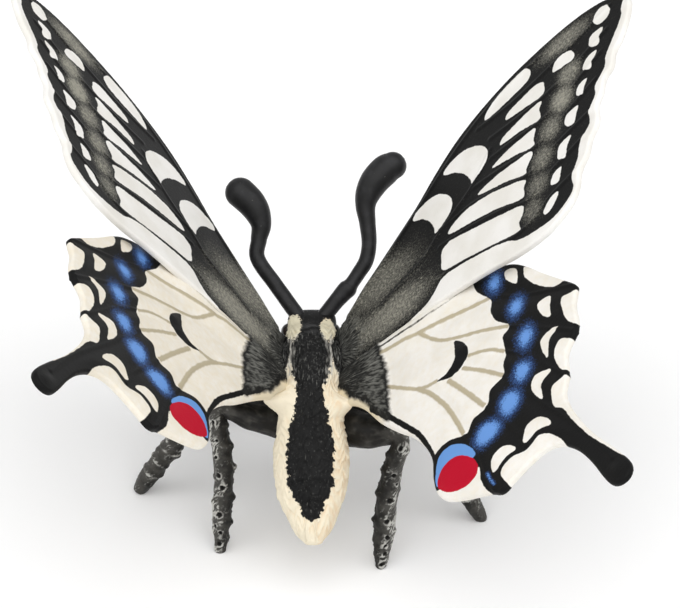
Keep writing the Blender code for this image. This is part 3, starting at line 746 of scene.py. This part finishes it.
def makeBody():
    stations = [(body["tailLean"] * max(0, -16 - forward), forward, up, wide, high)
                for forward, up, wide, high in body["stations"]]
    tube = spineTube(stations, (0, 0, 1), body["sides"], body["rings"], body["caps"])
    travel, turn = tube["travel"], tube["turn"]
    under = np.abs(turn) > math.pi / 2
    sideways = np.sin(turn) * tube["width"] - body["stripeShift"]
    lateral = np.where(under, 2 * tube["width"] - np.abs(sideways), np.abs(sideways))
    across = turn * tube["width"]
    hair = strokes(across, travel, 0.5, 1.5, 31)
    # locks that overlap like shingles, each rising to its tip and then dropping
    lock = (travel / 2.1 + 2.2 * lumps(across / 0.9 + 40, travel / 7, 36)) % 1
    lock = lock * softStep(1 - lock, 0, 0.18)
    clumps = 0.45 * lumps(across / 1.4 + 30, travel / 1.7, 35) + 0.55 * lock
    stripeEdge = np.interp(travel, *np.array(body["stripe"]).T)
    ragged = 0.5 * (lumps(np.sign(turn) * 7 + 20, travel / 0.45, 37) - 0.5) + 0.7 * (hair - 0.55)
    stripe = stripeEdge + ragged * softStep(travel, 9, 12) - lateral
    place = np.column_stack([lateral, travel])
    ink = np.maximum(stripe, insideLoop(place, body["darkSide"], 4) + 0.5 * (hair - 0.5))
    cheek = np.full(len(travel), noPaint)
    for side, (sideAt, backAt, halfWidth, halfLength) in body["cheeks"].items():
        gap = np.hypot((lateral - sideAt) / halfWidth, (travel - backAt) / halfLength)
        cheek = np.where((turn > 0) == (side == "right"), (1 - gap) * halfWidth + 0.3 * (hair - 0.5), cheek)
    ink = np.minimum(np.maximum(ink, body["headEnd"] - travel), -cheek)
    thorax = softStep(travel, 8.5, 10) * softStep(-travel, -20, -17)
    # grey fuzz on the shoulder lines, between them and along the edges of the cream
    fuzz = softStep(nearLine(place, body["shoulderLine"], 0.0), -0.55, 0)
    fuzz = np.maximum(fuzz, 0.62 * softStep(lateral, 1.9, 2.7) * softStep(-lateral, -3.6, -3.2))
    fuzz = np.maximum(fuzz, 0.7 * softStep(-np.abs(ink), -0.7, -0.1)) * thorax
    head = 1 - softStep(travel, 2.5, 10.5)
    furry = 1 - head
    raised = softStep(stripe, -0.05, 0.35) * softStep(travel, 21, 25)
    heights = body["heights"]
    relief = furry * (heights["hair"] * hair + heights["clumps"] * clumps)
    relief += raised * (heights["stripe"] + heights["stripeHair"] * hair)
    relief += heights["cheek"] * softStep(cheek, -0.4, 0.5)
    relief += heights["crown"] * head * np.exp(-(turn / 0.55) ** 2)
    relief += heights["brow"] * head * np.exp(-((np.abs(turn) - 0.95) / 0.32) ** 2)
    for side, at, angle, height in body["flares"]:
        spread = np.exp(-((travel - at) / 1.5) ** 2 - ((side * turn - angle) / 0.3) ** 2)
        relief += height * spread
        ink -= 3 * spread * (lateral > 2.9)
    for groove in body["grooves"]:
        relief += heights["groove"] * np.exp(-((travel - groove) / 0.3) ** 2) * softStep(stripe, -0.2, 0.4)
    shapeTube(tube, relief + heights["skin"])
    piece = tube["piece"]
    flank = thorax * softStep(lateral, 3.5, 4.1)
    # the warm wash is partly painted shade in the hollows, and it is heavier on the right side as painted
    # shade on that side
    hollow = 1 - 0.35 * hair - 0.9 * clumps + 0.25 * np.sin(turn)
    keepFields(piece, ink=ink, across=across / 0.38, along=travel * 0.8, hollow=hollow,
               cheek=softStep(cheek, -0.2, 0.4), fuzz=2 * fuzz - 1,
               tips=softStep(ink, 0.1, 0.5) * (0.2 + 0.16 * thorax + 0.35 * flank * hair))
    placePiece(piece, "furry_body", Matrix.Identity(4), furPaint, ["body"])


eyes = {"places": ((3.45, 10.6, 28.9), (-3.8, 10.6, 28.9)), "radius": 1.55}


def makeEyes():
    bpy.ops.object.select_all(action="DESELECT")
    beads = []
    for place in eyes["places"]:
        bpy.ops.mesh.primitive_uv_sphere_add(
            segments=48, ring_count=32, radius=eyes["radius"], location=place)
        beads.append(bpy.context.object)
    for bead in beads:
        bead.select_set(True)
    bpy.ops.object.transform_apply(location=True)
    bpy.ops.object.join()
    placePiece(bpy.context.object, "eyes", Matrix.Identity(4), eyePaint, [])


makeBody()
makeEyes()
print("body made")

# legs
legs = {
    "paths": {
        "right_front_leg": ((3.0, 6.0, 25.0, 2.3), (8.0, 10.2, 22.6, 2.1), (13.0, 14.2, 20.6, 1.7),
                            (15.0, 16.4, 14.0, 1.7), (17.4, 19.4, 6.0, 1.7), (19.0, 21.6, 0.9, 1.3)),
        "left_front_leg": ((-3.0, 6.0, 25.0, 2.3), (-8.0, 10.2, 22.6, 2.1), (-13.0, 14.2, 20.6, 1.7),
                           (-15.0, 16.4, 14.0, 1.7), (-17.4, 19.4, 6.0, 1.7), (-19.0, 21.6, 0.9, 1.3)),
        "right_middle_leg": ((3.5, 1.0, 23.5, 2.4), (10.0, -0.4, 22.2, 2.1), (17.2, -1.9, 20.8, 1.8),
                             (23.9, -3.0, 13.6, 1.7), (27.2, -4.8, 5.0, 1.6), (29.4, -5.4, 0.3, 1.2)),
        "left_middle_leg": ((-3.5, 1.0, 23.5, 2.4), (-10.0, 2.0, 22.4, 2.1), (-17.2, 3.0, 20.8, 1.8),
                            (-23.0, 2.4, 12.4, 1.75), (-27.7, 2.1, 5.0, 1.75), (-30.2, 1.9, 0.7, 1.35)),
        "right_hind_leg": ((4.0, -4.6, 20.8, 3.3), (9.0, -7.4, 21.7, 3.1), (14.8, -10.8, 23.0, 1.7),
                           (13.7, -12.8, 17.0, 1.75), (12.8, -14.3, 11.6, 1.85), (12.4, -15.9, 6.0, 1.75),
                           (11.9, -17.6, 0.3, 1.0)),
        "left_hind_leg": ((-4.0, -4.0, 20.6, 3.0), (-9.4, -4.2, 22.0, 2.6), (-15.6, -4.4, 24.0, 1.6),
                          (-15.4, -6.9, 17.2, 1.7), (-15.1, -8.9, 12.0, 1.7), (-15.5, -11.7, 5.0, 1.6),
                          (-15.8, -13.6, 0.3, 1.0)),
    },
    "sides": 72, "rings": 280, "cap": 1.0, "kneeAt": 10.5,
    # pits and knobs down the shin: distance along the leg, angle from the back of the leg, size
    "pits": {
        "right": ((14.2, 0.06, 0.32), (19.1, 0.1, 0.3), (20.8, 0.6, 0.2), (23.9, 0.2, 0.42),
                  (27.9, 0.15, 0.38), (30.9, 0.3, 0.3), (32.6, 0.2, 0.25), (34.2, 0.3, 0.34), (36.4, 0, 0.3)),
        "left": ((14.2, -0.5, 0.24), (17.5, -0.3, 0.22), (20.6, -0.6, 0.24), (24.0, -0.5, 0.38),
                 (26.1, -0.14, 0.34), (31.1, -0.35, 0.42), (33.3, -0.8, 0.25), (34.4, -0.1, 0.25),
                 (36.6, -0.2, 0.35)),
    },
    "knobs": {
        "right": ((16.2, -1.5, 0.4), (19.0, -1.45, 0.45), (23.4, -1.4, 0.6), (28.3, -1.45, 0.6),
                  (32.0, -1.4, 0.3), (14.8, 1.5, 0.2), (22.2, 1.5, 0.25), (30.2, 1.6, 0.3)),
        "left": ((15.4, 1.45, 0.4), (19.1, 1.45, 0.55), (22.9, 1.45, 0.6), (28.2, 1.4, 0.6), (33, 1.4, 0.3),
                 (17, -1.6, 0.2), (24.5, -1.6, 0.25), (29.2, -1.5, 0.3)),
    },
    # the front and middle legs have no pits, only folds round the shin: distances along the leg
    "folds": (19.5, 22.8, 26.2, 27.7, 31.0, 33.6), "foldHeight": 0.2,
    # the pits are repeated in rows round the leg, each row by its turn
    "rowTurns": (0, 2.1, -2.1), "pitDepth": 0.5, "rimHeight": 0.28, "lumpHeight": 0.3, "curlHeight": 0.12,
    "silver": {"hind": 0.95, "others": 0.45},
}


def nearSpot(travel, turn, radius, at, angle):
    swing = (turn - angle + math.pi) % (2 * math.pi) - math.pi
    return travel - at, swing * radius


def makeLeg(name, seed):
    side = name.split("_")[0]
    stations = [(*station, station[3]) for station in legs["paths"][name]]
    tube = spineTube(stations, (0, -1, 0), legs["sides"], legs["rings"], (legs["cap"], legs["cap"]))
    travel, turn, radius = tube["travel"], tube["turn"], tube["width"]
    shin = softStep(travel, legs["kneeAt"] - 1, legs["kneeAt"] + 2)
    outer = 0.5 + 0.5 * np.sin(turn) * (1 if side == "right" else -1)  # 1 on the side away from the body
    curls = strokes(turn * radius + travel * 0.6, travel, 0.42, 0.8, seed)
    broad = lumps(turn * radius / 1.1 + 20, travel / 1.8, seed + 3)
    patchy = softStep(broad, 0.35, 0.75)
    relief = legs["lumpHeight"] * (broad - 0.5) + shin * legs["curlHeight"] * (curls - 0.5)
    crest = shin * (0.4 + 0.6 * patchy) * (0.2 + 0.85 * outer) * softStep(curls, 0.42, 0.82)
    pits = np.zeros(len(travel))
    hind = "hind" in name
    crest *= legs["silver"]["hind" if hind else "others"]
    for fold in () if hind else legs["folds"]:
        ring = np.exp(-((travel - fold - 0.25 * np.sin(turn + fold)) / 0.3) ** 2)
        relief += legs["foldHeight"] * ring
        crest += 0.6 * ring * broad
    for row, rowTurn in enumerate(legs["rowTurns"] if hind else ()):
        for at, angle, size in legs["pits"][side]:
            gap = np.hypot(*nearSpot(travel, turn, radius, at - 0.7 * row, angle + rowTurn))
            broken = 0.3 + 0.7 * lumps(turn / 0.35 + 60, travel / 0.4, seed + 2)
            rim = np.exp(-((gap - size * 1.5) / 0.17) ** 2) * broken
            pit = np.exp(-(gap / size) ** 2)
            relief += legs["rimHeight"] * rim - legs["pitDepth"] * pit
            crest += 0.6 * rim - 1.2 * pit
            pits += pit
    for at, angle, height in legs["knobs"][side]:
        gapAlong, gapAcross = nearSpot(travel, turn, radius, at, angle)
        knob = height * np.exp(-(gapAlong / 0.6) ** 2 - (gapAcross / 0.9) ** 2)
        relief += knob
        crest += 0.3 * knob
    points = shapeTube(tube, relief - 0.05)
    points[:, 2] = np.maximum(points[:, 2], 0)
    writePoints(tube["piece"], points)
    # thigh streaks and the outer grey: partly dry-brushed paint, partly a painted sheen
    streaks = strokes(turn * radius, travel, 0.9, 4.0, seed + 5)
    thigh = (1 - shin) * (0.9 * streaks + 0.3 * broad - 0.5)
    keepFields(tube["piece"], crest=crest, outer=outer * shin + 0.2 + thigh - 1.5 * pits)
    placePiece(tube["piece"], name + "_brushed", Matrix.Identity(4), legPaint, [name])


for seed, legName in enumerate(legs["paths"]):
    makeLeg(legName, 50 + 7 * seed)
print("legs made")

# antennae
antennae = {
    # the plane that they lie on, up from level, and the point they grow from
    "rise": 50, "crown": (0, 11.8, 30.4),
    "paths": {
        "left_antenna": ((-2.1, 0.5, 1.3), (-3.4, 2.2, 1.3), (-6.5, 6.5, 1.3), (-9.4, 10.8, 1.32),
                         (-9.2, 14.0, 1.4), (-8.8, 16.4, 1.75), (-9.4, 18.6, 2.25), (-10.6, 20.5, 2.55),
                         (-12.4, 22.2, 2.65)),
        "right_antenna": ((1.5, 0.1, 1.3), (2.7, 1.5, 1.35), (4.2, 3.4, 1.4), (5.5, 4.9, 1.55),
                          (6.3, 5.7, 1.6), (6.9, 6.5, 1.25), (8.0, 8.1, 1.25), (9.4, 10.5, 1.3),
                          (9.9, 13.6, 1.3), (9.6, 17.0, 1.45), (9.3, 19.8, 1.75), (9.7, 22.0, 2.2),
                          (10.9, 24.2, 2.55), (12.7, 26.1, 2.65), (14.0, 26.9, 2.4)),
    },
    "sides": 48, "rings": 200, "rootCap": 0.8, "waveHeight": 0.05,
}


def makeAntenna(name):
    rise = math.radians(antennae["rise"])
    across, forward, up = antennae["crown"]
    stations = [(right, forward + along * math.cos(rise), up + along * math.sin(rise), radius, radius)
                for right, along, radius in antennae["paths"][name]]
    towards = (0, -math.sin(rise), math.cos(rise))
    caps = (antennae["rootCap"], stations[-1][3])
    tube = spineTube(stations, towards, antennae["sides"], antennae["rings"], caps)
    waves = lumps(tube["turn"] / 0.8 + 9, tube["travel"] / 2.5, 91) - 0.5
    shapeTube(tube, antennae["waveHeight"] * waves)
    placePiece(tube["piece"], name + "_satin", Matrix.Identity(4), antennaPaint, [name])


for antennaName in antennae["paths"]:
    makeAntenna(antennaName)
print("antennae made")

# floor, light and camera
stage = {
    "floorSize": 8.0, "worldStrength": 0.58,
    # place, aim, size and power of each softbox, in metres and watts
    "softboxes": {
        "overhead": ((0.04, -0.4, 0.95), (0, 0, 0), 1.7, 10.7),
        "left": ((-0.9, -0.1, 0.6), (0, 0, 0.03), 0.7, 1.3),
        "right": ((0.9, -0.1, 0.6), (0, 0, 0.03), 0.7, 1.0),
    },
}
bpy.ops.object.select_all(action="DESELECT")
bpy.ops.mesh.primitive_plane_add(size=stage["floorSize"], location=(0, 0, 0))
floor = bpy.context.object
floor.name = "floor"
# White card with a matte coat, which takes soft shadows and has no gloss.
card = bpy.data.materials.new("matteWhiteCard")
card.use_nodes = True
for socket, value in (("Base Color", linear("#FBFBFB")), ("Roughness", 0.9), ("Specular IOR Level", 0.0)):
    card.node_tree.nodes["Principled BSDF"].inputs[socket].default_value = value
floor.data.materials.append(card)

world = bpy.data.worlds.new("studio")
bpy.context.scene.world = world
world.use_nodes = True
world.node_tree.nodes["Background"].inputs["Color"].default_value = (1, 1, 1, 1)
world.node_tree.nodes["Background"].inputs["Strength"].default_value = stage["worldStrength"]
for name, (place, aim, size, power) in stage["softboxes"].items():
    bpy.ops.object.light_add(type="AREA", location=place)
    lamp = bpy.context.object
    lamp.name = name
    lamp.data.shape = "DISK"
    lamp.data.size = size
    lamp.data.energy = power
    lamp.rotation_euler = (Vector(aim) - Vector(place)).to_track_quat("-Z", "Y").to_euler()

# the focal length is in the photograph's pixels, like its frame's width
camera = {"target": (4.86, 6.93, 37.88), "place": (4.86, -465.87, 407.27), "focal": 3516, "frameWidth": 680}
lens = bpy.data.cameras.new("camera")
lens.sensor_width = 36
lens.lens = camera["focal"] / camera["frameWidth"] * lens.sensor_width
lens.clip_start, lens.clip_end = 0.01, 20
eye = bpy.data.objects.new("camera", lens)
bpy.context.scene.collection.objects.link(eye)
eye.location = (Vector(camera["place"]) + standShift) * millimetre
view = Vector(camera["target"]) - Vector(camera["place"])
eye.rotation_euler = view.to_track_quat("-Z", "Y").to_euler()
bpy.context.scene.camera = eye
bpy.context.scene.view_settings.view_transform = "Standard"
print("stage made")
